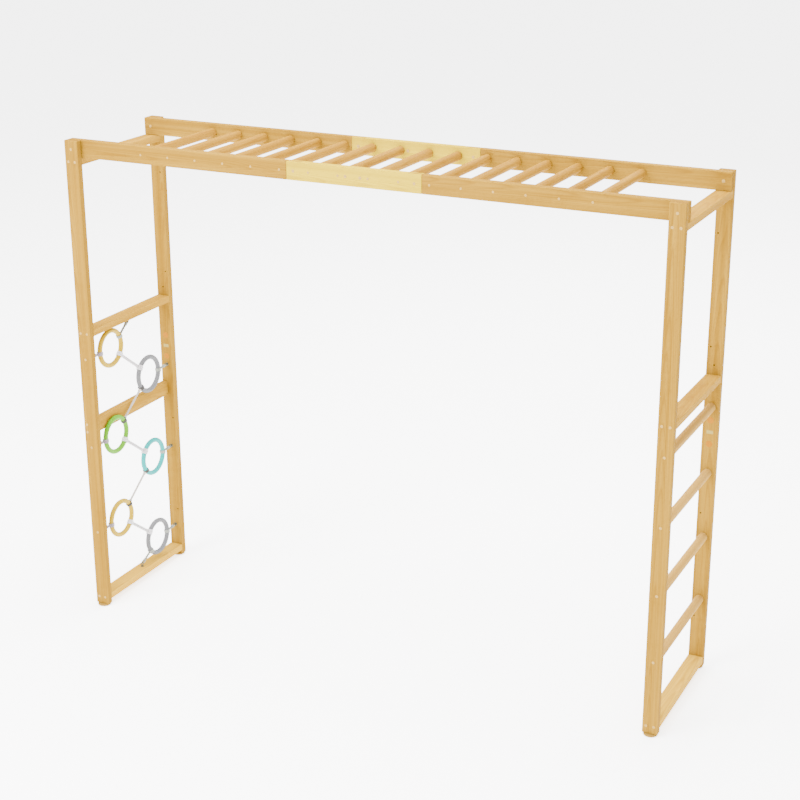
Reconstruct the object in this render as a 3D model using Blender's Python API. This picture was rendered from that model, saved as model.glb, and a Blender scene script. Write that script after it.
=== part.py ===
"""Wooden monkey bars: two end frames joined by two overhead rails with rungs between them.

The left frame carries a rope net of six rings, and the right frame is a short ladder.
Metres, +Z up. The origin is on the ground under the middle, +X points to the ladder frame
and +Y to the back.
"""

from math import atan2, cos, pi, sin

import bmesh
import bpy
from mathutils import Matrix, Vector

# Overall sizes
LENGTH = 2.5
WIDTH = 0.6
HEIGHT = 2.0

# Boards
BOARD = 0.028
POST_WIDTH = 0.06
RAIL_DEPTH = 0.07
BEAM_WIDTH = 0.06
BOARD_EDGE = 0.0025
GAP = 0.0003

# Feet
FOOT_HEIGHT = 0.009
FOOT_RADIUS = 0.0275
FOOT_EDGE = 0.002

# Rails
MIDDLE_LENGTH = 0.55
TONGUE_LENGTH = 0.0575
TONGUE_THICKNESS = 0.01

# Cross beams, as heights of their undersides above the ground
BOTTOM_BEAM = 0.026
UPPER_BEAM = 1.201
EDGE_BEAM = 0.774

# Rungs
RUNG_RADIUS = 0.0175
RUNG_EDGE = 0.002
RUNG_COUNT = 16
RUNG_PITCH = 0.122
LADDER_COUNT = 4
LADDER_FIRST = 0.303
LADDER_PITCH = 0.266

# Shelf holes in the posts' inner faces, as heights above the ground
HOLE_RADIUS = 0.003
HOLE_DEPTH = 0.012
HOLE_INSET = 0.014
INSET_HOLES = (0.227, 0.666, 1.336, 1.768)
CENTRE_HOLES = (1.266,)

# Ring net
RING_COUNT = 6
RING_RADIUS = 0.0735
RING_TUBE = 0.01
RING_SPREAD = 0.256
NET_CLEARANCE = 0.0005
NET_SIDE = -0.012
NET_LIFT = 0.005
ROPE_RADIUS = 0.005
TIE_RADIUS = 0.004
TIE_GAP = 0.0015
EYE_RADIUS = 0.0075
EYE_WIRE = 0.002
EYE_REACH = 0.013

# Places that follow from the sizes
LEFT = -LENGTH / 2
POST_X = LENGTH / 2 - POST_WIDTH / 2
POST_Y = WIDTH / 2 - BOARD / 2
RAIL_Y = WIDTH / 2 - BOARD - GAP - BOARD / 2
RAIL_Z = HEIGHT - RAIL_DEPTH / 2
BETWEEN_POSTS = WIDTH - 2 * (BOARD + GAP)
BETWEEN_RAILS = WIDTH - 4 * BOARD - 4 * GAP
NET_X = LEFT + BOARD + NET_CLEARANCE + RING_TUBE
NET_PITCH = (UPPER_BEAM - BOTTOM_BEAM - BOARD) / RING_COUNT

WOOD = (0.64, 0.45, 0.25, 1)
PALE_WOOD = (0.79, 0.64, 0.31, 1)
RUNG_WOOD = (0.68, 0.40, 0.18, 1)
RING_COLOURS = (
    ("yellow", (0.85, 0.64, 0.25, 1)),
    ("grey", (0.43, 0.45, 0.47, 1)),
    ("green", (0.33, 0.60, 0.20, 1)),
    ("turquoise", (0.18, 0.66, 0.60, 1)),
    ("yellow", (0.85, 0.64, 0.25, 1)),
    ("grey", (0.43, 0.45, 0.47, 1)),
)
ROPE_COLOUR = (0.75, 0.75, 0.72, 1)


def clear_scene():
    for thing in list(bpy.data.objects):
        bpy.data.objects.remove(thing)


def material(name, colour, roughness, metallic=0.0):
    found = bpy.data.materials.get(name)
    if found:
        return found
    made = bpy.data.materials.new(name)
    made.use_nodes = True
    shader = made.node_tree.nodes["Principled BSDF"]
    shader.inputs["Base Color"].default_value = colour
    shader.inputs["Roughness"].default_value = roughness
    shader.inputs["Metallic"].default_value = metallic
    made.diffuse_color = colour
    return made


def add_object(name, mesh_source, place, finish=None):
    """An object made from a bmesh drawn about its own origin, then put in place."""
    bmesh.ops.recalc_face_normals(mesh_source, faces=mesh_source.faces)
    mesh = bpy.data.meshes.new(name)
    mesh_source.to_mesh(mesh)
    mesh_source.free()
    thing = bpy.data.objects.new(name, mesh)
    thing.location = place
    bpy.context.scene.collection.objects.link(thing)
    if finish:
        mesh.materials.append(finish)
    return thing


def add_bevel(thing, width):
    bevel = thing.modifiers.new("Edges", "BEVEL")
    bevel.width = width
    bevel.segments = 2
    bevel.limit_method = "ANGLE"
    bevel.angle_limit = pi / 6


def box_mesh(size):
    made = bmesh.new()
    bmesh.ops.create_cube(made, size=1.0)
    bmesh.ops.scale(made, vec=size, verts=made.verts)
    return made


def rod_mesh(radius, length, direction, sides=24):
    """A capped cylinder centred on the origin, its axis along the direction."""
    made = bmesh.new()
    bmesh.ops.create_cone(
        made, cap_ends=True, segments=sides, radius1=radius, radius2=radius, depth=length
    )
    turn = Vector((0, 0, 1)).rotation_difference(Vector(direction)).to_matrix()
    bmesh.ops.rotate(made, cent=(0, 0, 0), matrix=turn, verts=made.verts)
    return made


def torus_mesh(radius, tube, axis, turns, sides):
    """A ring about the axis: one round section spun a full turn."""
    made = bmesh.new()
    section = bmesh.ops.create_circle(made, cap_ends=False, segments=sides, radius=tube)
    bmesh.ops.rotate(
        made, cent=(0, 0, 0), matrix=Matrix.Rotation(pi / 2, 3, "X"), verts=section["verts"]
    )
    bmesh.ops.translate(made, vec=(radius, 0, 0), verts=section["verts"])
    bmesh.ops.spin(
        made,
        geom=made.verts[:] + made.edges[:],
        cent=(0, 0, 0),
        axis=(0, 0, 1),
        angle=2 * pi,
        steps=turns,
        use_merge=True,
    )
    turn = Vector((0, 0, 1)).rotation_difference(Vector(axis)).to_matrix()
    bmesh.ops.rotate(made, cent=(0, 0, 0), matrix=turn, verts=made.verts)
    return made


def prism_mesh(outline, depth):
    """A flat outline, drawn in X and Y, raised by the depth and centred on Z."""
    made = bmesh.new()
    corners = [made.verts.new((x, y, -depth / 2)) for x, y in outline]
    face = made.faces.new(corners)
    raised = bmesh.ops.extrude_face_region(made, geom=[face])["geom"]
    moved = [part for part in raised if isinstance(part, bmesh.types.BMVert)]
    bmesh.ops.translate(made, vec=(0, 0, depth), verts=moved)
    return made


def smooth(thing):
    for face in thing.data.polygons:
        face.use_smooth = True
    return thing


def board(name, size, place):
    """A plank with eased edges."""
    thing = add_object(name, box_mesh(size), place, material("wood", WOOD, 0.55))
    add_bevel(thing, BOARD_EDGE)
    return thing


def rung(name, length, place):
    """A round bar along Y with eased ends."""
    mesh = rod_mesh(RUNG_RADIUS, length, (0, 1, 0))
    thing = smooth(add_object(name, mesh, place, material("rung_wood", RUNG_WOOD, 0.5)))
    add_bevel(thing, RUNG_EDGE)


def drill(thing, place):
    """A blind hole along Y, from the post's inner face."""
    mesh = rod_mesh(HOLE_RADIUS, 2 * HOLE_DEPTH, (0, 1, 0), 12)
    bit = add_object(thing.name + "_bit", mesh, place)
    bit.hide_render = True
    bit.display_type = "WIRE"
    cut = thing.modifiers.new("Hole", "BOOLEAN")
    cut.operation = "DIFFERENCE"
    cut.object = bit


def post(name, side, depth):
    """An upright at side -1 or 1 along X and depth -1 or 1 along Y, with its holes and foot."""
    tall = HEIGHT - FOOT_HEIGHT - GAP
    centre = Vector((side * POST_X, depth * POST_Y, HEIGHT - tall / 2))
    thing = board(name, (POST_WIDTH, BOARD, tall), centre)
    inner_face = depth * (WIDTH / 2 - BOARD)
    inset_x = side * (POST_X - POST_WIDTH / 2 + HOLE_INSET)
    for height in INSET_HOLES:
        drill(thing, (inset_x, inner_face, height))
    for height in CENTRE_HOLES:
        drill(thing, (side * POST_X, inner_face, height))
    foot(name.replace("post", "foot"), (centre.x, centre.y, FOOT_HEIGHT / 2))


def foot(name, place):
    """A round pad under a post."""
    mesh = rod_mesh(FOOT_RADIUS, FOOT_HEIGHT, (0, 0, 1))
    thing = smooth(add_object(name, mesh, place, material("wood", WOOD, 0.55)))
    add_bevel(thing, FOOT_EDGE)


def end_frame(word, side):
    """Two posts with their flat cross beams: bottom, upper middle and top."""
    post(word + "_front_post", side, -1)
    post(word + "_back_post", side, 1)
    top_beam = HEIGHT - RAIL_DEPTH - GAP - BOARD
    for label, underside in (("bottom", BOTTOM_BEAM), ("upper", UPPER_BEAM), ("top", top_beam)):
        place = (side * POST_X, 0, underside + BOARD / 2)
        board(f"{word}_{label}_beam", (BEAM_WIDTH, BETWEEN_POSTS, BOARD), place)


def edge_beam():
    """The left frame's lower middle beam stands on edge at the outer side."""
    place = (LEFT + BOARD / 2, 0, EDGE_BEAM + BEAM_WIDTH / 2)
    board("left_edge_beam", (BOARD, BETWEEN_POSTS, BEAM_WIDTH), place)


def side_rail_outline(length):
    """A plank that ends in a tongue half way through its thickness."""
    half, tongue = BOARD / 2, TONGUE_THICKNESS / 2
    end = length + TONGUE_LENGTH
    return [
        (0, -half),
        (length, -half),
        (length, -tongue),
        (end, -tongue),
        (end, tongue),
        (length, tongue),
        (length, half),
        (0, half),
    ]


def middle_rail_outline():
    """A plank with a slot in each end, where the tongues go."""
    reach, half = MIDDLE_LENGTH / 2 - GAP, BOARD / 2
    slot_end = MIDDLE_LENGTH / 2 - TONGUE_LENGTH - GAP
    slot = TONGUE_THICKNESS / 2 + GAP
    right = [
        (reach, -half),
        (reach, -slot),
        (slot_end, -slot),
        (slot_end, slot),
        (reach, slot),
        (reach, half),
    ]
    left = [(-x, -y) for x, y in right]
    return right + left


def rails(word, depth):
    """One side's overhead rail in three lengths, flush with each other and with the posts."""
    side_length = (LENGTH - MIDDLE_LENGTH) / 2
    wood = material("wood", WOOD, 0.55)
    pale = material("pale_wood", PALE_WOOD, 0.55)
    pieces = [("middle", middle_rail_outline(), pale)]
    for end, side in (("left", -1), ("right", 1)):
        outline = [(side * (LENGTH / 2 - x), y) for x, y in side_rail_outline(side_length)]
        pieces.append((end, outline, wood))
    place = (0, depth * RAIL_Y, RAIL_Z)
    for end, outline, finish in pieces:
        thing = add_object(f"{word}_rail_{end}", prism_mesh(outline, RAIL_DEPTH), place, finish)
        add_bevel(thing, BOARD_EDGE)


def overhead_rungs():
    first = -RUNG_PITCH * (RUNG_COUNT - 1) / 2
    for index in range(RUNG_COUNT):
        rung(f"overhead_rung_{index + 1:02d}", BETWEEN_RAILS, (first + index * RUNG_PITCH, 0, RAIL_Z))


def ladder_rungs():
    for index in range(LADDER_COUNT):
        height = LADDER_FIRST + index * LADDER_PITCH
        rung(f"ladder_rung_{index + 1}", BETWEEN_POSTS, (POST_X, 0, height))


def ring_centre(index):
    """Rings step down from side to side between the upper and the bottom beam."""
    side = -1 if index % 2 == 0 else 1
    height = UPPER_BEAM - (index + 0.5) * NET_PITCH + NET_LIFT
    return Vector((NET_X, side * RING_SPREAD / 2 + NET_SIDE, height))


def ring(index):
    word, colour = RING_COLOURS[index]
    finish = material(word + "_plastic", colour, 0.4)
    mesh = torus_mesh(RING_RADIUS, RING_TUBE, (1, 0, 0), 40, 12)
    smooth(add_object(f"ring_{index + 1}_{word}", mesh, ring_centre(index), finish))


def rope(name, start, end, radius):
    """A straight taut rope between two points."""
    finish = material("rope", ROPE_COLOUR, 0.85)
    along = end - start
    mesh = rod_mesh(radius, along.length, along.normalized(), 12)
    return smooth(add_object(name, mesh, (start + end) / 2, finish))


def ring_edge(index, target):
    """The point just outside a ring's tube, on the way from its centre to the target."""
    centre = ring_centre(index)
    angle = atan2(target.z - centre.z, target.y - centre.y)
    reach = RING_RADIUS + RING_TUBE + TIE_GAP
    return centre + Vector((0, reach * cos(angle), reach * sin(angle)))


def unite(thing, part):
    part.hide_render = True
    part.display_type = "WIRE"
    join = thing.modifiers.new("Join", "BOOLEAN")
    join.operation = "UNION"
    join.object = part


def tie(name, index, anchor, outward):
    """A rope from a ring to a screw eye that stands on the anchor point, pointing outward."""
    outward = Vector(outward)
    eye_centre = anchor + outward * EYE_REACH
    start = eye_centre + outward * EYE_RADIUS
    end = ring_edge(index, start)
    thing = rope(name, start, end, TIE_RADIUS)
    shank_length = EYE_REACH - EYE_RADIUS
    shank = rod_mesh(EYE_WIRE, shank_length, outward, 12)
    shank_centre = anchor + outward * (GAP + shank_length / 2)
    unite(thing, add_object(name + "_shank", shank, shank_centre))
    eye = torus_mesh(EYE_RADIUS, EYE_WIRE, (1, 0, 0), 16, 8)
    unite(thing, add_object(name + "_eye", eye, eye_centre))


def ring_net():
    """Rings, the ropes that link them, and the ties to the posts and beams."""
    for index in range(RING_COUNT):
        ring(index)
    eye_x = -POST_X
    above = Vector((eye_x, 0, UPPER_BEAM))
    tie("top_tie", 0, above, (0, 0, -1))
    below = Vector((eye_x, 0, BOTTOM_BEAM + BOARD))
    tie("bottom_tie", RING_COUNT - 1, below, (0, 0, 1))
    for index in range(RING_COUNT):
        centre = ring_centre(index)
        side = 1 if centre.y > NET_SIDE else -1
        anchor = Vector((eye_x, side * (WIDTH / 2 - BOARD), centre.z - NET_LIFT))
        tie(f"side_tie_{index + 1}", index, anchor, (0, -side, 0))
    for index in range(RING_COUNT - 1):
        start = ring_edge(index, ring_centre(index + 1))
        end = ring_edge(index + 1, ring_centre(index))
        rope(f"link_{index + 1}", start, end, ROPE_RADIUS)


def build():
    clear_scene()
    end_frame("left", -1)
    end_frame("right", 1)
    edge_beam()
    rails("front", -1)
    rails("back", 1)
    overhead_rungs()
    ladder_rungs()
    ring_net()


build()
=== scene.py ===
"""Wooden monkey bars: a net of rings at one end, a ladder at the other, sixteen bars overhead.

Timber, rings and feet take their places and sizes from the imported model, and what is fixed to
them follows. Metres, +Z up, +X to the ladder, +Y to the back.
"""

import random
from math import atan2, cos, pi, radians, sin

import bmesh
import bpy
from mathutils import Matrix, Vector


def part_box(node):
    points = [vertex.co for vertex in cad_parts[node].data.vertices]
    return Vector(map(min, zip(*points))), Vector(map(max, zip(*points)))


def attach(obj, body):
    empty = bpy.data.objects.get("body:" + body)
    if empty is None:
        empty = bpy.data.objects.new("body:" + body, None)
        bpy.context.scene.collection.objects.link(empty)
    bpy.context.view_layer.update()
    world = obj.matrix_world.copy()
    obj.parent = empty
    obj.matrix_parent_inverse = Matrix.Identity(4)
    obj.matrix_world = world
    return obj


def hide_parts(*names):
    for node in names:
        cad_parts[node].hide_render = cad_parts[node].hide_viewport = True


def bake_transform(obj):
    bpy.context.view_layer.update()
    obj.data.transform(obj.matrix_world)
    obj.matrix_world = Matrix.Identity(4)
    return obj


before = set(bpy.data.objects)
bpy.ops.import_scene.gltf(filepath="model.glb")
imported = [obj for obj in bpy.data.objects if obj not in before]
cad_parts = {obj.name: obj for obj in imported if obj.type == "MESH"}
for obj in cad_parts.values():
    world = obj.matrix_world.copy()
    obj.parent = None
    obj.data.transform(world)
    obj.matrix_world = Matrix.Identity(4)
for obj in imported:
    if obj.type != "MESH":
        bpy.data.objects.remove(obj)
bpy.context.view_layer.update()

MM = 0.001
X, Y, Z = Vector((1, 0, 0)), Vector((0, 1, 0)), Vector((0, 0, 1))

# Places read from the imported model
POST_LOW, POST_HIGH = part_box("left_front_post")
POST_X = -(POST_LOW.x + POST_HIGH.x) / 2
POST_WIDTH = POST_HIGH.x - POST_LOW.x
POST_OUTER = -POST_LOW.y
POST_INNER = -POST_HIGH.y
RAIL_LOW, RAIL_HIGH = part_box("front_rail_middle")
RAIL_OUTER = -RAIL_LOW.y
RAIL_INNER = -RAIL_HIGH.y
RAIL_Z = (RAIL_LOW.z + RAIL_HIGH.z) / 2
UPPER_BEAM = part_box("left_upper_beam")[0].z
BOTTOM_BEAM_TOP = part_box("left_bottom_beam")[1].z

RING_WORDS = ("yellow", "grey", "green", "turquoise", "yellow", "grey")
RING_COUNT = len(RING_WORDS)
OVERHEAD_COUNT = 16
LADDER_COUNT = 4
RING_TUBE = 10 * MM
TIE_DROP = 5 * MM

# Screws and bolts, as places along X and heights
JOINT_BOLTS_X = (-0.246, -0.030, 0.030, 0.246)
EDGE_CROSSPIECE_X = -1.236
CROSSPIECE_SCREWS_Z = (0.040, 1.215, 1.916)
EDGE_CROSSPIECE_SCREWS_Z = (0.789, 0.822)
LADDER_SCREWS_Z = (0.303, 0.569, 0.835, 1.101)
SCREW_SPREAD = 15 * MM

# Spare holes in the posts' inner faces
INSET_HOLES_Z = (0.227, 0.666, 1.336, 1.768)
CENTRE_HOLE_Z = 1.266
HOLE_INSET = 14 * MM

# Marks on the back posts
DOTS_Z = (1.048, 0.952)
LABEL_Z = 1.0

# Timber figure
YEAR_RING = 3.1 * MM
PITH_DEPTH = 45 * MM
WORN_EDGE = 3.2 * MM
SOAKED_END = 0.9 * MM
NO_EDGE = 1.0

# Ropes, with their strands in shares of the rope's radius, and screw eyes
CROSSING_LINK_RADIUS = 6.8 * MM
SLANTED_LINK_RADIUS = 4.6 * MM
TIE_RADIUS = 5.0 * MM
LAY_LENGTH = 6.5
STRAND_PLACE = 0.44
STRAND_RADIUS = 0.56
EYE_RADIUS = 7.5 * MM
EYE_WIRE = 2 * MM
EYE_REACH = 13 * MM


# Colours, with each timber's pale wood before its deep wood


def rgb(red, green, blue):
    return (red, green, blue, 1.0)


POST_WOOD = (rgb(0.305, 0.172, 0.018), rgb(0.178, 0.088, 0.004))
MIDDLE_RAIL_WOOD = (rgb(0.50, 0.36, 0.008), rgb(0.35, 0.235, 0.002))
# Painted light: the crosspieces' wood is lighter than the posts', and the bottom ones' lighter
# still, so that their tops look lit from above; their sides come out lighter with it.
LIT_CROSSPIECE_WOOD = (rgb(0.38, 0.215, 0.024), rgb(0.25, 0.125, 0.006))
LIT_BOTTOM_CROSSPIECE_WOOD = (rgb(0.54, 0.325, 0.035), rgb(0.37, 0.2, 0.012))
OVERHEAD_BAR_WOOD = (rgb(0.33, 0.175, 0.018), rgb(0.22, 0.103, 0.005))
# Painted light: the ladder bars' wood is lighter to make up for the shade the upper crosspiece
# casts on the top bar; all four bars share it.
LIT_LADDER_BAR_WOOD = (rgb(0.43, 0.255, 0.055), rgb(0.3, 0.165, 0.03))
FOOT_RUBBER = rgb(0.22, 0.125, 0.018)
SCREW_COVER = rgb(0.34, 0.21, 0.055)
ORANGE_FILM = rgb(0.28, 0.104, 0.0)
PALE_FILM = rgb(0.27, 0.2, 0.05)
# Painted shade: the sleeves are steel, but nearly black to stand for the shade deep in the holes.
INSERT_STEEL_PAINTED_SHADE = rgb(0.008, 0.007, 0.006)
EYE_STEEL = rgb(0.15, 0.145, 0.1)
WHITE_CORD = rgb(0.55, 0.53, 0.54)
CREAM_CORD = rgb(0.47, 0.43, 0.38)
DARK_CORD = rgb(0.06, 0.055, 0.05)
MAUVE_GREY_CORD = rgb(0.27, 0.235, 0.26)
GREY_GREEN_CORD = rgb(0.26, 0.27, 0.23)
RING_COLOURS = {
    "yellow": rgb(0.32, 0.205, 0.0),
    "grey": rgb(0.105, 0.105, 0.108),
    "green": rgb(0.075, 0.235, 0.0),
    "turquoise": rgb(0.0, 0.24, 0.225),
}


# Shader kit


def set_stops(ramp, stops):
    while len(ramp.elements) < len(stops):
        ramp.elements.new(1.0)
    for element, (place, level) in zip(ramp.elements, stops):
        element.position = place
        element.color = (level, level, level, 1)


def plug(tree, socket, value):
    """Links a socket to another, or sets it to a number or a colour."""
    if isinstance(value, Value):
        value = value.socket
    if isinstance(value, bpy.types.NodeSocket):
        tree.links.new(value, socket)
    else:
        socket.default_value = value


def add_node(tree, kind, settings, sockets):
    """A new node: its settings first, then the values or links of its sockets."""
    made = tree.nodes.new(kind)
    for key, value in settings.items():
        if key == "stops":
            set_stops(made.color_ramp, value)
        else:
            setattr(made, key, value)
    for key, value in sockets.items():
        plug(tree, made.inputs[key], value)
    return made


class Value:
    """A socket in a material that adds Math nodes when it is used in sums."""

    def __init__(self, finish, socket):
        self.finish = finish
        self.socket = socket

    def out(self, name):
        """Another output of the same node, by its name or number."""
        return Value(self.finish, self.socket.node.outputs[name])

    def math(self, operation, *others):
        sockets = dict(enumerate((self, *others)))
        return self.finish.node("ShaderNodeMath", {"operation": operation}, sockets)

    def __add__(self, other):
        return self.math("ADD", other)

    def __sub__(self, other):
        return self.math("SUBTRACT", other)

    def __mul__(self, other):
        return self.math("MULTIPLY", other)

    def __truediv__(self, other):
        return self.math("DIVIDE", other)

    def __pow__(self, other):
        return self.math("POWER", other)

    def __rsub__(self, other):
        return self.finish.node("ShaderNodeMath", {"operation": "SUBTRACT"}, {0: other, 1: self})

    __radd__ = __add__
    __rmul__ = __mul__

    def clamped(self):
        return self.finish.node("ShaderNodeClamp", {}, {"Value": self})


class Finish:
    """A material built up node by node on one Principled shader."""

    def __init__(self, name, **constants):
        self.material = bpy.data.materials.new(name)
        self.material.use_nodes = True
        self.tree = self.material.node_tree
        self.shader = self.tree.nodes["Principled BSDF"]
        for socket, value in constants.items():
            self.shader.inputs[socket.replace("_", " ")].default_value = value

    def node(self, kind, settings, sockets):
        """A new node in this material, as its first output in use."""
        made = add_node(self.tree, kind, settings, sockets)
        live = [socket for socket in made.outputs if socket.enabled]
        return Value(self, live[0])

    def attribute(self, name, output="Vector"):
        """What the mesh stores for each point under this name."""
        found = self.node("ShaderNodeAttribute", {"attribute_name": name}, {})
        return found.out(output)

    def place(self):
        """The point's own place in metres."""
        return self.node("ShaderNodeTexCoord", {}, {}).out("Object")

    def split(self, vector):
        """A vector's three parts."""
        parts = self.node("ShaderNodeSeparateXYZ", {}, {0: vector})
        return parts, parts.out("Y"), parts.out("Z")

    def join(self, x, y, z):
        return self.node("ShaderNodeCombineXYZ", {}, {0: x, 1: y, 2: z})

    def vector(self, operation, first, second):
        return self.node("ShaderNodeVectorMath", {"operation": operation}, {0: first, 1: second})

    def noise(self, vector, scale, detail=2.0, roughness=0.5):
        """Noise from 0 to 1, with the scale given for each direction."""
        stretched = self.vector("MULTIPLY", vector, scale)
        sockets = {"Vector": stretched, "Scale": 1.0, "Detail": detail, "Roughness": roughness}
        return self.node("ShaderNodeTexNoise", {}, sockets)

    def ramp(self, value, *stops):
        return self.node("ShaderNodeValToRGB", {"stops": stops}, {"Fac": value})

    def mix(self, share, first, second):
        """A colour between two others. The numbers are the node's colour sockets."""
        sockets = {0: share, 6: first, 7: second}
        return self.node("ShaderNodeMix", {"data_type": "RGBA"}, sockets).out(2)

    def bump(self, height, depth, strength=1.0):
        sockets = {"Height": height, "Distance": depth, "Strength": strength}
        return self.node("ShaderNodeBump", {}, sockets)

    def wear(self, colour, roughness, normal):
        """Links what varies over the surface and gives back the finished material."""
        plug(self.tree, self.shader.inputs["Base Color"], colour)
        plug(self.tree, self.shader.inputs["Roughness"], roughness)
        plug(self.tree, self.shader.inputs["Normal"], normal)
        return self.material


# Finishes


def wood_finish(name, pale, deep, gloss):
    """Sawn, sanded and oiled timber, solid through the plank, so its ends show the rings."""
    f = Finish(name, Specular_IOR_Level=0.008)
    seed = f.attribute("seed", "Fac")
    along, across, through = f.split(f.attribute("grain"))
    spot = f.join(along + seed * 3.7, across + seed * 1.3, through + seed * 2.1)
    half_along, half_across, half_through = f.split(f.attribute("half"))

    drift = f.noise(spot, (1.6, 14, 14), 2.0)
    heart_across = across + (seed.math("FRACT") - 0.5) * 0.05
    heart_through = through + PITH_DEPTH + along * 0.02
    radius = (heart_across * heart_across + heart_through * heart_through) ** 0.5
    year = ((radius + drift * 0.016) / YEAR_RING).math("FRACT")
    late = f.ramp(year, (0.0, 0.75), (0.1, 0.08), (0.62, 0.16), (0.93, 1.0), (1.0, 0.75))
    streak = f.ramp(f.noise(spot, (0.9, 75, 75), 3.0, 0.6), (0.32, 0.0), (0.68, 1.0))
    fibre = f.noise(spot, (16, 1300, 1300), 3.0, 0.65)
    pores = f.ramp(f.noise(spot, (55, 1900, 1900), 1.0), (0.64, 0.0), (0.72, 1.0))
    cloud = f.noise(spot, (2.2, 9, 9), 2.0)
    curl = f.noise(spot, (42, 7, 7), 2.0) * f.ramp(cloud, (0.45, 0.0), (0.62, 1.0))

    to_end = half_along - along.math("ABSOLUTE")
    to_edge = half_across - across.math("ABSOLUTE")
    to_face = half_through - through.math("ABSOLUTE")
    furthest = to_end.math("MAXIMUM", to_edge).math("MAXIMUM", to_face)
    near = to_end + to_edge + to_face - furthest
    ragged = f.noise(spot, (60, 220, 220), 3.0)
    edge = (1.25 - near / WORN_EDGE - ragged * 0.5).clamped()
    end = (1.0 - to_end / SOAKED_END).clamped()

    tone = f.mix(streak * 0.6 + cloud * 0.5, pale, deep)
    dark = rgb(deep[0] * 0.72, deep[1] * 0.62, deep[2] * 0.5)
    tone = f.mix(late * 0.42, tone, dark)
    tone = f.mix((curl - 0.3) * 0.5, tone, dark)
    tone = f.mix((fibre - 0.35) * 0.35, tone, dark)
    tone = f.mix(pores * 0.35, tone, rgb(deep[0] * 0.5, deep[1] * 0.38, deep[2] * 0.28))
    tone = f.mix(end * 0.45, tone, dark)
    worn = rgb(min(pale[0] * 1.08, 1), min(pale[1] * 1.1, 1), min(pale[2] * 1.15, 1))
    tone = f.mix(edge * 0.4, tone, worn)
    rough = gloss + fibre * 0.16 - late * 0.07 + edge * 0.08 + end * 0.12
    height = fibre * 0.5 + late * 0.35 - pores * 0.9
    return f.wear(tone, rough, f.bump(height, 0.00025, 0.8))


def moulded_finish(name, colour, speckle, gloss, seam_x=None):
    """Moulded plastic or rubber with a fine skin and scuffs, and a mould seam on a ring."""
    f = Finish(name, Specular_IOR_Level=0.1)
    spot = f.place()
    skin = f.noise(spot, (900, 900, 900), 2.0)
    cloud = f.noise(spot, (28, 28, 28), 3.0)
    scratch = f.noise(spot, (2200, 160, 420), 1.0)
    scuff = f.ramp(scratch, (0.66, 0.0), (0.72, 1.0)) * f.ramp(cloud, (0.5, 0.0), (0.7, 1.0))
    lighter = rgb(*[min(level * 1.14 + 0.02, 1) for level in colour[:3]])
    darker = rgb(*[level * speckle for level in colour[:3]])
    tone = f.mix((cloud - 0.3) * 0.7, colour, darker)
    tone = f.mix(scuff * 0.5, tone, lighter)
    height = skin * 0.25 - scuff * 0.4
    if seam_x is not None:
        off_seam = (f.split(spot)[0] - seam_x).math("ABSOLUTE")
        seam = (1.0 - off_seam / 0.00035).clamped()
        tone = f.mix(seam * 0.35, tone, darker)
        height = height + seam * 1.4
    rough = gloss + cloud * 0.12 + scuff * 0.2
    return f.wear(tone, rough, f.bump(height, 0.0002, 0.7))


def rope_finish(name, colour):
    """Twisted cord: painted shade in the grooves between strands, deeper towards the rope's heart,
    with patchy dirt over it, and pale fuzz on their crowns.
    """
    f = Finish(name, Specular_IOR_Level=0.1)
    spot = f.place()
    groove = f.attribute("groove", "Fac")
    yarn = f.noise(spot, (1500, 1500, 1500), 2.0, 0.7)
    grime = f.noise(spot, (60, 60, 60), 2.0)
    deep = rgb(colour[0] * 0.42, colour[1] * 0.4, colour[2] * 0.38)
    # Painted shade in the grooves between strands, with noise for patchy dirt added.
    tone = f.mix((groove * 0.85 + (grime - 0.4) * 0.25).clamped(), colour, deep)
    tone = f.mix((yarn - 0.3) * 0.35, tone, deep)
    return f.wear(tone, 0.75 + yarn * 0.2, f.bump(yarn, 0.0004, 0.8))


def steel_finish(name, colour, gloss):
    """Zinc-plated steel with dull patches and fine scratches."""
    f = Finish(name, Metallic=1.0)
    spot = f.place()
    patch = f.noise(spot, (350, 350, 350), 3.0)
    scratch = f.noise(spot, (3000, 300, 3000), 2.0)
    dull = rgb(colour[0] * 0.6, colour[1] * 0.56, colour[2] * 0.48)
    tone = f.mix(patch * 0.7, colour, dull)
    rough = gloss + patch * 0.25 + scratch * 0.08
    return f.wear(tone, rough, f.bump(scratch + patch * 0.5, 0.00008, 0.7))


def sticker_finish(name, colour):
    """Printed film: smooth, with a faint ripple from the wood under it."""
    f = Finish(name, Specular_IOR_Level=0.03)
    spot = f.place()
    ripple = f.noise(spot, (420, 420, 40), 2.0)
    print_dots = f.noise(spot, (2500, 2500, 2500), 0.0)
    faded = rgb(*[level * 0.82 for level in colour[:3]])
    tone = f.mix(ripple * 0.35 + print_dots * 0.15, colour, faded)
    return f.wear(tone, 0.35 + ripple * 0.15, f.bump(ripple, 0.0001, 0.6))


# Camera, light and floor


def add_camera():
    """A long lens in front of the ladder end, looking down a little."""
    view = bpy.data.cameras.new("camera")
    view.lens = 75.09
    view.sensor_width = 36
    view.shift_x = -0.0205
    view.clip_end = 500
    camera = bpy.data.objects.new("camera", view)
    camera.location = (2.776, -5.499, 3.245)
    camera.rotation_euler = (radians(90 - 19.814), 0, radians(25.746))
    bpy.context.scene.collection.objects.link(camera)
    bpy.context.scene.camera = camera


def add_softbox(name, place, aim, size, power):
    """A large square light that faces the aim."""
    lamp = bpy.data.lights.new(name, "AREA")
    lamp.size = size
    lamp.energy = power
    box = bpy.data.objects.new(name, lamp)
    box.location = place
    box.rotation_euler = (Vector(aim) - Vector(place)).to_track_quat("-Z", "Y").to_euler()
    bpy.context.scene.collection.objects.link(box)


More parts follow.
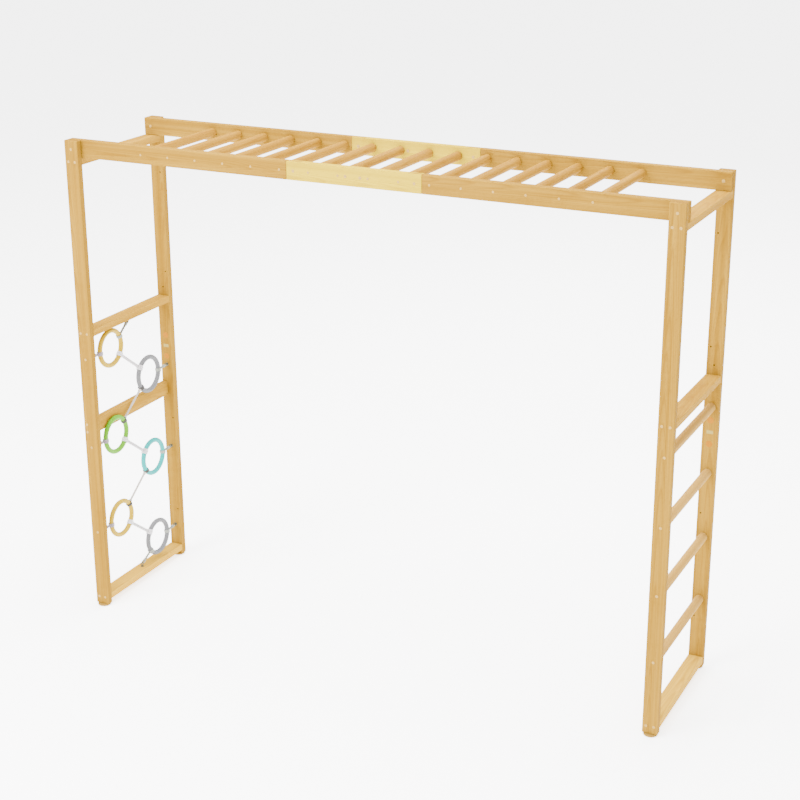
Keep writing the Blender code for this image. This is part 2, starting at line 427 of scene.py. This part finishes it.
def add_world(light, backdrop):
    """Even white light all round, in front of a backdrop as bright as the floor."""
    world = bpy.data.worlds.new("studio")
    world.use_nodes = True
    tree = world.node_tree
    seen = add_node(tree, "ShaderNodeLightPath", {}, {}).outputs["Is Camera Ray"]
    white = {"Color": (1, 1, 1, 1)}
    around, behind = (
        add_node(tree, "ShaderNodeBackground", {}, {**white, "Strength": strength}).outputs[0]
        for strength in (light, backdrop)
    )
    mix = add_node(tree, "ShaderNodeMixShader", {}, {0: seen, 1: around, 2: behind})
    tree.links.new(mix.outputs[0], tree.nodes["World Output"].inputs["Surface"])
    bpy.context.scene.world = world


def build_floor():
    """A white floor that glows a little, so it stays white in the distance."""
    f = Finish("studio_floor", Emission_Color=rgb(1, 1, 1), Emission_Strength=3.0)
    spot = f.place()
    cloud = f.noise(spot, (0.6, 0.6, 0.6), 2.0)
    tone = f.mix(cloud, rgb(0.93, 0.93, 0.93), rgb(0.95, 0.95, 0.95))
    finish = f.wear(tone, 0.85 + cloud * 0.05, f.bump(cloud, 0.0001, 0.1))
    made = bmesh.new()
    bmesh.ops.create_grid(made, x_segments=1, y_segments=1, size=150)
    floor = make_piece("floor", made, finish, body=None)


# Shapes


def placed(made, place, direction):
    """Turns a shape drawn along +Z at the origin to lie along the direction at the place."""
    turn = Z.rotation_difference(Vector(direction)).to_matrix().to_4x4()
    matrix = Matrix.Translation(place) @ turn
    bmesh.ops.transform(made, matrix=matrix, verts=made.verts)
    return made


def merged(shapes):
    """Several bmeshes as one."""
    whole = bmesh.new()
    for shape in shapes:
        mesh = bpy.data.meshes.new("part")
        shape.to_mesh(mesh)
        shape.free()
        whole.from_mesh(mesh)
        bpy.data.meshes.remove(mesh)
    return whole


def make_piece(name, made, finish, body="frame", stands_for=(), recalculate=True):
    """An object at the origin, its place in its mesh, that rides on a body."""
    if recalculate:
        bmesh.ops.recalc_face_normals(made, faces=made.faces)
    mesh = bpy.data.meshes.new(name)
    made.to_mesh(mesh)
    made.free()
    mesh.materials.append(finish)
    piece = bpy.data.objects.new(name, mesh)
    bpy.context.scene.collection.objects.link(piece)
    if body:
        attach(piece, body)
    if stands_for:
        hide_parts(*stands_for)
    return piece


def soften(piece, is_flat):
    """Smooth shading everywhere apart from the faces that are flat."""
    for face in piece.data.polygons:
        face.use_smooth = not is_flat(face)
    return piece


def square_on(face):
    """Whether a face looks straight along X, Y or Z."""
    return max(abs(level) for level in face.normal) > 0.9995


def never(face):
    return False


def store(piece, name, kind, rows):
    """Keeps one row of numbers for each point of the piece, for its material to read."""
    attribute = piece.data.attributes.new(name, kind, "POINT")
    key = "vector" if kind == "FLOAT_VECTOR" else "value"
    attribute.data.foreach_set(key, [number for row in rows for number in row])


def lay_grain(piece, along, seed, half_sizes=None):
    """Stores where each point sits in its timber: along the grain, across it and through it."""
    points = [vertex.co.copy() for vertex in piece.data.vertices]
    low = Vector(min(point[axis] for point in points) for axis in range(3))
    high = Vector(max(point[axis] for point in points) for axis in range(3))
    middle, half = (low + high) / 2, (high - low) / 2
    others = sorted((axis for axis in range(3) if axis != along), key=lambda axis: -half[axis])
    order = [along, *others]
    sizes = half_sizes or [half[axis] for axis in order]
    placed_in_log = [[point[axis] - middle[axis] for axis in order] for point in points]
    store(piece, "grain", "FLOAT_VECTOR", placed_in_log)
    store(piece, "half", "FLOAT_VECTOR", [sizes] * len(points))
    store(piece, "seed", "FLOAT", [[seed]] * len(points))
    return piece


def plank(name, node, along, finish):
    """A board in the CAD node's own shape, its facets merged and its eased edges smooth."""
    made = bmesh.new()
    made.from_mesh(bpy.data.objects[node].data)
    bmesh.ops.remove_doubles(made, verts=made.verts, dist=1e-6)
    piece = make_piece(name, made, finish, stands_for=(node,), recalculate=False)
    soften(piece, square_on)
    return lay_grain(piece, along, draw.uniform(0, 40))


def bar(name, node, along, finish):
    """A round bar with eased ends that fills the CAD node's box."""
    low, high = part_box(node)
    length = (high - low)[along]
    radius = (high - low).x / 2
    made = bmesh.new()
    bmesh.ops.create_cone(
        made, cap_ends=True, segments=48, radius1=radius, radius2=radius, depth=length
    )
    rims = [edge for edge in made.edges if abs(edge.verts[0].co.z - edge.verts[1].co.z) < 1e-6]
    bmesh.ops.bevel(
        made,
        geom=rims,
        offset=2 * MM,
        offset_type="OFFSET",
        segments=4,
        profile=0.5,
        affect="EDGES",
        material=-1,
    )
    sides = [edge for edge in made.edges if edge.calc_length() > length / 2]
    bmesh.ops.subdivide_edges(made, edges=sides, cuts=5, use_grid_fill=True)
    placed(made, (low + high) / 2, Y)
    piece = make_piece(name, made, finish, stands_for=(node,))
    soften(piece, square_on)
    return lay_grain(piece, along, draw.uniform(0, 40), [length / 2, NO_EDGE, NO_EDGE])


def spun(profile, steps):
    """A profile of (radius, height) points turned about +Z, closed at its poles."""
    made = bmesh.new()
    points = [made.verts.new((radius, 0, height)) for radius, height in profile]
    edges = [made.edges.new(pair) for pair in zip(points, points[1:])]
    bmesh.ops.spin(
        made,
        geom=points + edges,
        cent=(0, 0, 0),
        axis=(0, 0, 1),
        angle=2 * pi,
        steps=steps,
        use_merge=True,
    )
    bmesh.ops.remove_doubles(made, verts=made.verts, dist=1e-6)
    return made


def hoop(radius, tube, turns, sides):
    """A ring about +Z."""
    made = bmesh.new()
    matrix = Matrix.Translation((radius, 0, 0)) @ Matrix.Rotation(pi / 2, 4, "X")
    section = bmesh.ops.create_circle(
        made, cap_ends=False, segments=sides, radius=tube, matrix=matrix
    )
    bmesh.ops.spin(
        made,
        geom=section["verts"] + made.edges[:],
        cent=(0, 0, 0),
        axis=(0, 0, 1),
        angle=2 * pi,
        steps=turns,
        use_merge=True,
    )
    return made


def wound(section_place, tube, tilt, rise, turns, steps, sides=8):
    """A cord that climbs round +Z: one round section spun as it rises, its ends closed."""
    made = bmesh.new()
    matrix = Matrix.Translation(section_place) @ Matrix.Rotation(tilt, 4, "X")
    section = bmesh.ops.create_circle(
        made, cap_ends=False, segments=sides, radius=tube, matrix=matrix
    )
    bmesh.ops.spin(
        made,
        geom=section["verts"] + made.edges[:],
        cent=(0, 0, 0),
        axis=(0, 0, 1),
        dvec=(0, 0, rise / steps),
        angle=2 * pi * turns,
        steps=steps,
        use_merge=False,
    )
    open_edges = [edge for edge in made.edges if edge.is_boundary]
    bmesh.ops.holes_fill(made, edges=open_edges, sides=0)
    return made


def coil(core, cord, turns):
    """Cord wound tight round a core along +Z, centred on the origin."""
    rise = 2 * cord * turns * 0.96
    place = (core + cord * 0.85, 0, -rise / 2)
    return wound(place, cord, pi / 2, rise, turns, round(16 * turns))


def twisted(radius, length):
    """Three strands laid together along +Z from the origin."""
    turns = length / (LAY_LENGTH * radius)
    steps = max(8, round(14 * turns))
    strands = []
    for index in range(3):
        angle = 2 * pi * index / 3
        reach = radius * STRAND_PLACE
        place = (reach * cos(angle), reach * sin(angle), 0)
        strands.append(wound(place, radius * STRAND_RADIUS, 0, length, turns, steps))
    return merged(strands)


def mark_groove_shade(piece, line_start, line_end, radius):
    """Stores how deep each point lies between a rope's strands, from 0 on top to 1 at its heart, as
    the share of painted shade in its grooves.
    """
    start, along = Vector(line_start), (Vector(line_end) - Vector(line_start)).normalized()
    rows = []
    for vertex in piece.data.vertices:
        offset = vertex.co - start
        reach = (offset - along * offset.dot(along)).length
        rows.append([min(max(1.35 - reach / radius, 0) * 1.2, 1)])
    store(piece, "groove", "FLOAT", rows)


def mark_wrap_shade(piece, centre, tube, radius):
    """The same painted shade for cord wound round a ring's tube, darkest where the cord lies on the
    tube.
    """
    rows = []
    for vertex in piece.data.vertices:
        offset = vertex.co - centre
        flat = Vector((0, offset.y, offset.z))
        reach = (offset - flat.normalized() * radius).length - tube
        rows.append([min(max(1 - reach / (2.4 * MM), 0), 1)])
    store(piece, "groove", "FLOAT", rows)


# Timber


def build_timber():
    wood = wood_finish("oiled_timber", *POST_WOOD, 0.5)
    pale = wood_finish("pale_timber", *MIDDLE_RAIL_WOOD, 0.5)
    # Painted light in the crosspieces' lighter wood, for their lit tops.
    lit_crosspiece = wood_finish("lit_crosspiece_timber", *LIT_CROSSPIECE_WOOD, 0.5)
    bottom = wood_finish("lit_bottom_crosspiece_timber", *LIT_BOTTOM_CROSSPIECE_WOOD, 0.5)
    for side in ("left", "right"):
        for row in ("front", "back"):
            plank(f"{side}_{row}_upright", f"{side}_{row}_post", 2, wood)
        for level, finish in (("bottom", bottom), ("upper", lit_crosspiece), ("top", lit_crosspiece)):
            plank(f"{side}_{level}_crosspiece", f"{side}_{level}_beam", 1, finish)
    plank("left_edge_crosspiece", "left_edge_beam", 1, lit_crosspiece)
    for row in ("front", "back"):
        for part, finish, slot in (
            ("left", wood, "wood"),
            ("middle", pale, "pale_wood"),
            ("right", wood, "wood"),
        ):
            plank(f"{row}_side_rail_{part}", f"{row}_rail_{part}", 0, finish)


def build_bars():
    overhead = wood_finish("overhead_bar_timber", *OVERHEAD_BAR_WOOD, 0.45)
    # Painted light in the ladder bars' lighter wood, against the crosspiece's shade.
    ladder = wood_finish("lit_ladder_bar_timber", *LIT_LADDER_BAR_WOOD, 0.45)
    for number in range(1, OVERHEAD_COUNT + 1):
        bar(f"overhead_bar_{number:02d}", f"overhead_rung_{number:02d}", 1, overhead)
    for number in range(1, LADDER_COUNT + 1):
        bar(f"ladder_bar_{number}", f"ladder_rung_{number}", 1, ladder)


def build_inserts():
    """Threaded sleeves in the posts' spare holes, nearly black so that they paint the shade inside
    the holes.
    """
    steel = steel_finish("insert_steel_painted_shade", INSERT_STEEL_PAINTED_SHADE, 0.6)
    sleeve = [
        (0, -11.2 * MM),
        (2.55 * MM, -11.2 * MM),
        (2.55 * MM, -0.8 * MM),
        (2.7 * MM, -0.5 * MM),
        (2.85 * MM, -0.5 * MM),
        (2.85 * MM, -11.8 * MM),
        (0, -11.8 * MM),
    ]
    for side, word in ((-1, "left"), (1, "right")):
        inset = side * (POST_X - POST_WIDTH / 2 + HOLE_INSET)
        holes = [(inset, height) for height in INSET_HOLES_Z]
        holes.append((side * POST_X, CENTRE_HOLE_Z))
        for row, depth in (("front", -1), ("back", 1)):
            shapes = [
                placed(spun(sleeve, 16), (x, depth * POST_INNER, height), -depth * Y)
                for x, height in holes
            ]
            soften(make_piece(f"{word}_{row}_post_inserts", merged(shapes), steel), never)


def build_feet():
    finish = moulded_finish("foot_rubber", FOOT_RUBBER, 0.8, 0.55)
    for side in ("left", "right"):
        for row in ("front", "back"):
            low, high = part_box(f"{side}_{row}_foot")
            middle = (low + high) / 2
            radius, tall = (high.x - low.x) / 2, high.z - low.z
            outline = [
                (0, 0.6 * MM),
                (radius * 0.45, 0.6 * MM),
                (radius * 0.5, 0),
                (radius * 0.78, 0),
                (radius * 0.9, 0.7 * MM),
                (radius * 0.97, 2.2 * MM),
                (radius, 4.4 * MM),
                (radius, tall - 2.2 * MM),
                (radius * 0.985, tall - 1.6 * MM),
                (radius * 0.985, tall - 1.1 * MM),
                (radius * 0.97, tall - 0.4 * MM),
                (radius * 0.94, tall),
                (0, tall),
            ]
            made = placed(spun(outline, 48), (middle.x, middle.y, low.z), Z)
            piece = make_piece(
                f"{side}_{row}_foot_pad",
                made,
                finish,
                stands_for=(f"{side}_{row}_foot",),
            )
            soften(piece, never)


# Fasteners


def cap(place, direction, radius=4.6 * MM, rise=1.2 * MM):
    """A low domed cover over a screw, with a driver socket in its middle."""
    outline = [
        (0, rise * 0.35),
        (radius * 0.26, rise * 0.35),
        (radius * 0.36, rise),
        (radius * 0.7, rise * 0.88),
        (radius * 0.94, rise * 0.5),
        (radius, 0.1 * MM),
        (radius * 0.98, -0.2 * MM),
        (0, -0.2 * MM),
    ]
    return placed(spun(outline, 14), place, direction)


def caps(name, places, finish, **sizes):
    shapes = [cap(place, direction, **sizes) for place, direction in places]
    soften(make_piece(name, merged(shapes), finish), never)


def build_fasteners():
    """Covers over every screw, bolt and nut, on the side rails, the posts and the net's ties."""
    plastic = moulded_finish("screw_cover_plastic", SCREW_COVER, 0.8, 0.4)
    first_low, first_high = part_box("overhead_rung_01")
    first_x = (first_low.x + first_high.x) / 2
    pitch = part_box("overhead_rung_02")[0].x - first_low.x
    bar_places = [first_x + pitch * index for index in range(OVERHEAD_COUNT)]
    for row, face in (("front", -Y), ("back", Y)):
        outer, inner = face.y * RAIL_OUTER, face.y * RAIL_INNER
        post_outer = face.y * POST_OUTER
        bar_screws = [(Vector((x, outer, RAIL_Z)), face) for x in bar_places]
        caps(f"{row}_bar_screws", bar_screws, plastic)
        caps(
            f"{row}_joint_bolts",
            [(Vector((x, outer, RAIL_Z)), face) for x in JOINT_BOLTS_X],
            plastic,
            radius=6 * MM,
        )
        inner_places = (*JOINT_BOLTS_X, -POST_X, POST_X)
        caps(
            f"{row}_inner_nuts",
            [(Vector((x, inner, RAIL_Z)), -face) for x in inner_places],
            plastic,
            radius=6.5 * MM,
            rise=1.8 * MM,
        )
        places = [
            Vector((side * POST_X + offset, post_outer, z))
            for side in (-1, 1)
            for offset in (-SCREW_SPREAD, SCREW_SPREAD)
            for z in CROSSPIECE_SCREWS_Z
        ]
        places += [Vector((side * POST_X, post_outer, RAIL_Z)) for side in (-1, 1)]
        places += [Vector((EDGE_CROSSPIECE_X, post_outer, z)) for z in EDGE_CROSSPIECE_SCREWS_Z]
        places += [Vector((POST_X, post_outer, z)) for z in LADDER_SCREWS_Z]
        caps(f"{row}_frame_screws", [(place, face) for place in places], plastic, radius=5.5 * MM)
    for row, face, first in (("front", -Y, 0), ("back", Y, 1)):
        outer = face.y * POST_OUTER
        heights = [ring_centre(index).z - TIE_DROP for index in range(first, RING_COUNT, 2)]
        caps(
            f"{row}_tie_bolts",
            [(Vector((-POST_X, outer, z)), face) for z in heights],
            plastic,
            radius=5.6 * MM,
            rise=2.2 * MM,
        )


def build_marks():
    """Two dots and a plain label on each back post's inner face."""
    dot = sticker_finish("orange_film", ORANGE_FILM)
    label = sticker_finish("pale_film", PALE_FILM)
    for side, word in ((-1, "left"), (1, "right")):
        for number, height in enumerate(DOTS_Z, 1):
            outline = [
                (0, 0.55 * MM),
                (11.2 * MM, 0.5 * MM),
                (12.6 * MM, 0.3 * MM),
                (13 * MM, 0.05 * MM),
                (13 * MM, -0.1 * MM),
                (0, -0.1 * MM),
            ]
            place = (side * POST_X, POST_INNER, height)
            made = placed(spun(outline, 40), place, -Y)
            soften(make_piece(f"{word}_orange_dot_{number}", made, dot), never)
        made = bmesh.new()
        bmesh.ops.create_cube(made, size=1.0)
        bmesh.ops.scale(made, vec=(26 * MM, 0.5 * MM, 14 * MM), verts=made.verts)
        upright = [edge for edge in made.edges if abs((edge.verts[0].co - edge.verts[1].co).y) > 0]
        bmesh.ops.bevel(
            made, geom=upright, offset=3 * MM, segments=5, profile=0.5, affect="EDGES", material=-1
        )
        place = (side * POST_X, POST_INNER - 0.2 * MM, LABEL_Z)
        bmesh.ops.translate(made, vec=place, verts=made.verts)
        make_piece(f"{word}_plain_label", made, label)


# Ring net


def ring_node(index):
    return f"ring_{index + 1}_{RING_WORDS[index]}"


def ring_centre(index):
    low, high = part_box(ring_node(index))
    return (low + high) / 2


def ring_radius(index):
    """From a ring's centre to the middle of its tube."""
    low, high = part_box(ring_node(index))
    return (high.z - low.z) / 2 - RING_TUBE


def on_ring(index, target, reach):
    """A point on the line from a ring's centre to the target, and the direction of that line."""
    centre = ring_centre(index)
    angle = atan2(target.z - centre.z, target.y - centre.y)
    direction = Vector((0, cos(angle), sin(angle)))
    return centre + direction * reach, direction


def wrap(name, index, target, finish, turns, cord=1.9 * MM):
    """Cord wound round a ring's tube where a rope meets it."""
    centre, radius = ring_centre(index), ring_radius(index)
    place, direction = on_ring(index, target, radius - 0.2 * MM)
    tangent = X.cross(direction)
    made = placed(coil(RING_TUBE, cord, turns), place, tangent)
    piece = make_piece(name, made, finish, body=f"ring_{index + 1}")
    soften(piece, never)
    mark_wrap_shade(piece, centre, RING_TUBE, radius)


def collar(start, direction, radius, cord, turns):
    """Whipping cord wound round a rope."""
    return placed(coil(radius, cord, turns), start, direction)


def build_rings():
    finishes = {}
    for index, word in enumerate(RING_WORDS):
        centre = ring_centre(index)
        if word not in finishes:
            finishes[word] = moulded_finish(
                f"{word}_ring_plastic", RING_COLOURS[word], 0.86, 0.32, centre.x
            )
        made = placed(hoop(ring_radius(index), RING_TUBE, 96, 28), centre, X)
        piece = make_piece(
            f"hanging_ring_{index + 1}",
            made,
            finishes[word],
            body=f"ring_{index + 1}",
            stands_for=(ring_node(index),),
        )
        soften(piece, never)


def half_link(name, index, other, middle, radius, finish, node):
    """Half of the rope between two rings, from its still middle to its ring."""
    end, direction = on_ring(index, ring_centre(other), ring_radius(index) + RING_TUBE * 0.9)
    length = (end - middle).length
    shapes = [
        placed(twisted(radius, length), middle, -direction),
        collar(end + direction * 5.5 * MM, direction, radius * 0.85, 1.5 * MM, 3.5),
    ]
    piece = make_piece(name, merged(shapes), finish, body=None, stands_for=(node,))
    soften(piece, never)
    mark_groove_shade(piece, middle, end, radius)
    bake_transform(piece)


def build_links(white, cream, dark):
    """Ropes down the zigzag of rings, in turn thick with pale lashings and thin with dark ones."""
    for index in range(RING_COUNT - 1):
        crossing = index % 2 == 0
        finish = white if crossing else cream
        radius = CROSSING_LINK_RADIUS if crossing else SLANTED_LINK_RADIUS
        middle = (ring_centre(index) + ring_centre(index + 1)) / 2
        for near, far, word in ((index, index + 1, "upper"), (index + 1, index, "lower")):
            label = f"link_rope_{index + 1}_{word}"
            half_link(label, near, far, middle, radius, finish, f"link_{index + 1}")
            cord, turns = (white, 5.5) if crossing else (dark, 3.5)
            wrap(f"{label}_wrap", near, ring_centre(far), cord, turns)


def screw_eye(name, anchor, outward, eye_centre, steel):
    """A steel eye on a threaded shank, with a washer and a nut against the timber."""
    washer = [(0, 0), (7 * MM, 0), (7.5 * MM, 0.3 * MM), (7.3 * MM, 1.1 * MM), (0, 1.2 * MM)]
    nut = bmesh.new()
    bmesh.ops.create_cone(
        nut, cap_ends=True, segments=6, radius1=4.6 * MM, radius2=4.6 * MM, depth=2.6 * MM
    )
    bmesh.ops.bevel(
        nut,
        geom=nut.edges[:],
        offset=0.35 * MM,
        segments=2,
        profile=0.5,
        affect="EDGES",
        material=-1,
    )
    reach = (eye_centre - anchor).length
    shank_length = reach - 7 * MM
    thread = wound((1.75 * MM, 0, 0), 0.35 * MM, pi / 2, shank_length, shank_length / MM, 48, 6)
    shank = bmesh.new()
    bmesh.ops.create_cone(
        shank, cap_ends=True, segments=16, radius1=1.8 * MM, radius2=1.8 * MM, depth=shank_length
    )
    eye = hoop(EYE_RADIUS, EYE_WIRE, 40, 12)
    shapes = [
        placed(spun(washer, 32), anchor, outward),
        placed(nut, anchor + outward * 2.5 * MM, outward),
        placed(thread, anchor, outward),
        placed(shank, anchor + outward * shank_length / 2, outward),
        placed(eye, eye_centre, X),
    ]
    soften(make_piece(name, merged(shapes), steel), square_on)


def build_tie(label, node, index, anchor, outward, radius, rope, steel):
    """A short rope from a screw eye to a ring, looped through the eye and wound round the ring."""
    eye_centre = anchor + outward * EYE_REACH
    screw_eye(f"{label}_screw_eye", anchor, outward, eye_centre, steel)
    end, _ = on_ring(index, eye_centre, ring_radius(index) + RING_TUBE * 0.9)
    towards = (end - eye_centre).normalized()
    loop_centre = eye_centre + towards * 10 * MM
    rope_start = loop_centre + towards * 6 * MM
    loop = hoop(6.2 * MM, 2.2 * MM, 28, 8)
    shapes = [
        placed(loop, loop_centre, X.cross(towards)),
        collar(rope_start + towards * 3.5 * MM, towards, radius * 0.85, 1.4 * MM, 3.5),
        placed(twisted(radius, (end - rope_start).length), rope_start, towards),
    ]
    piece = make_piece(
        f"{label}_rope", merged(shapes), rope, body=None, stands_for=(node,)
    )
    soften(piece, never)
    mark_groove_shade(piece, rope_start, end, radius)
    f"ring_{index + 1}"
    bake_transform(piece)
    wrap(f"{label}_wrap", index, eye_centre, rope, 4.5, 1.7 * MM)


def build_net():
    white = rope_finish("white_cord", WHITE_CORD)
    cream = rope_finish("cream_cord", CREAM_CORD)
    dark = rope_finish("dark_cord", DARK_CORD)
    mauve = rope_finish("mauve_grey_cord", MAUVE_GREY_CORD)
    grey = rope_finish("grey_green_cord", GREY_GREEN_CORD)
    steel = steel_finish("eye_steel", EYE_STEEL, 0.35)
    build_rings()
    build_links(white, cream, dark)
    anchors = [
        ("top_tie", 0, Vector((-POST_X, 0, UPPER_BEAM)), -Z, grey),
        ("bottom_tie", RING_COUNT - 1, Vector((-POST_X, 0, BOTTOM_BEAM_TOP)), Z, grey),
    ]
    for index in range(RING_COUNT):
        side = -1 if index % 2 == 0 else 1
        height = ring_centre(index).z - TIE_DROP
        anchor = Vector((-POST_X, side * POST_INNER, height))
        finish = mauve if side < 0 else grey
        anchors.append((f"side_tie_{index + 1}", index, anchor, -side * Y, finish))
    for node, index, anchor, outward, finish in anchors:
        label = node.replace("tie", "ring_tie")
        build_tie(label, node, index, anchor, outward, TIE_RADIUS, finish, steel)


# The whole scene

draw = random.Random(7)
add_camera()
add_world(light=2.5, backdrop=6.2)
add_softbox("key_light", place=(-3.0, -6.0, 5.0), aim=(0, 0, 1), size=4.0, power=1500)
add_softbox("top_light", place=(0, 0, 7.0), aim=(0, 0, 0), size=5.0, power=1600)
add_softbox("back_light", place=(0.5, 6.0, 5.5), aim=(0, 0, 1), size=4.0, power=500)
build_floor()
build_timber()
build_bars()
build_inserts()
build_feet()
build_fasteners()
build_marks()
build_net()
